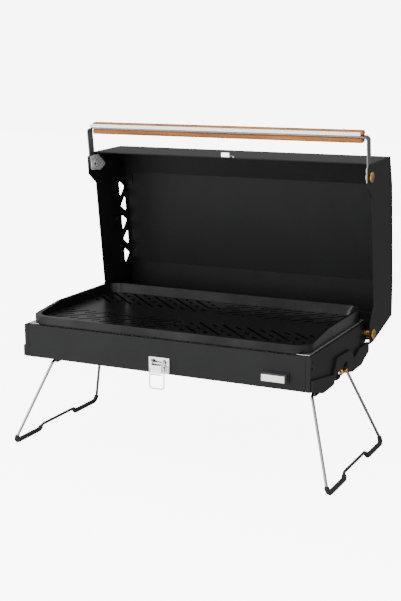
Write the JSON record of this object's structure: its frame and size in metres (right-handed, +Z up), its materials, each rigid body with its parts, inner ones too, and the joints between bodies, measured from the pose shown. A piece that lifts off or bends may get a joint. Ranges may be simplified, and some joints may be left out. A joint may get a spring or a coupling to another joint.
{
  "type": "folding camp grill",
  "caption": "Suitcase-style gas grill on folding wire legs: hinged lid with a swinging wood-gripped carry handle, latch, slotted lift-off grate, burner and push igniter.",
  "frame": {"origin": "on the ground, under the middle of the bounding box of the standing, open grill", "axes": "+Z up, +X towards the igniter end, +Y from the latch side to the hinge side"},
  "size_m": [0.546, 0.3811, 0.5097],
  "materials": {
    "black": "fine matt powder coat",
    "grate": "smooth non-stick coating, satin",
    "steel": "satin stainless sheet",
    "bright": "bright nickel plate",
    "zinc": "zinc plated, dull",
    "strap": "dark satin steel",
    "brass": "turned brass, satin",
    "wood": "oiled warm hardwood",
    "rubber": "matt black dip",
    "wire": "bright wire, black dipped foot bar",
    "ceramic": "glazed ceramic",
    "plastic": "black moulded plastic",
    "pipe": "soft aluminium tube"
  },
  "bodies": {
    "base": {"front_panel": "black", "right_end_wall": "black", "left_end_wall": "black", "right_end_guard": "black", "left_end_guard": "black", "rear_wall": "black", "base_pan": "black", "right_hinge_bracket": "black", "left_hinge_bracket": "black", "drip_tray": "steel", "burner_tube": "steel", "venturi": "steel", "gas_jet": "brass", "jet_elbow": "brass", "gas_pipe": "pipe", "gas_inlet": "brass", "inlet_nut": "brass", "left_burner_bracket": "steel", "right_burner_bracket": "steel", "burner_screws": "zinc", "electrode_ceramic": "ceramic", "electrode_tip": "zinc", "electrode_clip": "steel", "igniter_bezel": "black", "piezo_unit": "plastic", "latch_plate": "bright", "latch_rivets": "bright", "latch_pin": "bright", "right_leg_hangers": "black", "left_leg_hangers": "black", "hinge_bolts": "brass", "hinge_spacers": "brass", "hinge_nuts": "zinc"},
    "lid": {"lid_shell": "black", "lid_right_side": "black", "lid_left_side": "black", "lid_rivets": "black", "rack_studs": "black", "lid_keeper": "bright", "keeper_rivets": "bright", "handle_bolts": "brass", "handle_nuts": "zinc", "ear_plates": "zinc"},
    "handle": {"handle_strap": "strap", "upper_grip": "wood", "lower_grip": "wood", "grip_trim": "steel", "grip_rivets": "zinc"},
    "right_leg": {"right_leg_wire": "wire", "right_leg_sleeves": "rubber"},
    "left_leg": {"left_leg_wire": "wire", "left_leg_sleeves": "rubber"},
    "lever": {"latch_lever": "bright"},
    "bail": {"latch_bail": "bright"},
    "igniter": {"igniter_button": "steel"},
    "grate": {"cooking_grate": "grate"}
  },
  "joints": [
    {"name": "lid_hinge", "type": "hinge", "parent": "base", "child": "lid", "pos_m": [0, 0.08545, 0.182], "axis": [-1, 0, 0], "range_deg": [-82.4, 0]},
    {"name": "handle_swing", "type": "hinge", "parent": "lid", "child": "handle", "pos_m": [0, 0.05196, 0.43681], "axis": [1, 0, 0], "range_deg": [0, 40]},
    {"name": "right_leg_fold", "type": "hinge", "parent": "base", "child": "right_leg", "pos_m": [0.2235, -0.04755, 0.133], "axis": [0, 1, 0], "range_deg": [0, 109]},
    {"name": "left_leg_fold", "type": "hinge", "parent": "base", "child": "left_leg", "pos_m": [-0.2235, -0.04755, 0.133], "axis": [0, -1, 0], "range_deg": [0, 109]},
    {"name": "lever_swing", "type": "hinge", "parent": "base", "child": "lever", "pos_m": [0, -0.18305, 0.17], "axis": [-1, 0, 0], "range_deg": [0, 135]},
    {"name": "bail_swing", "type": "hinge", "parent": "lever", "child": "bail", "pos_m": [0, -0.18605, 0.1635], "axis": [1, 0, 0], "range_deg": [-163, 0]},
    {"name": "igniter_press", "type": "slide", "parent": "base", "child": "igniter", "axis": [0, 1, 0], "range_m": [0, 0.005], "stiffness_N_per_m": 800, "springref_m": -0.002},
    {"name": "grate_lift", "type": "slide", "parent": "base", "child": "grate", "axis": [0, 0, 1], "range_m": [0, 0.06]}
  ]
}
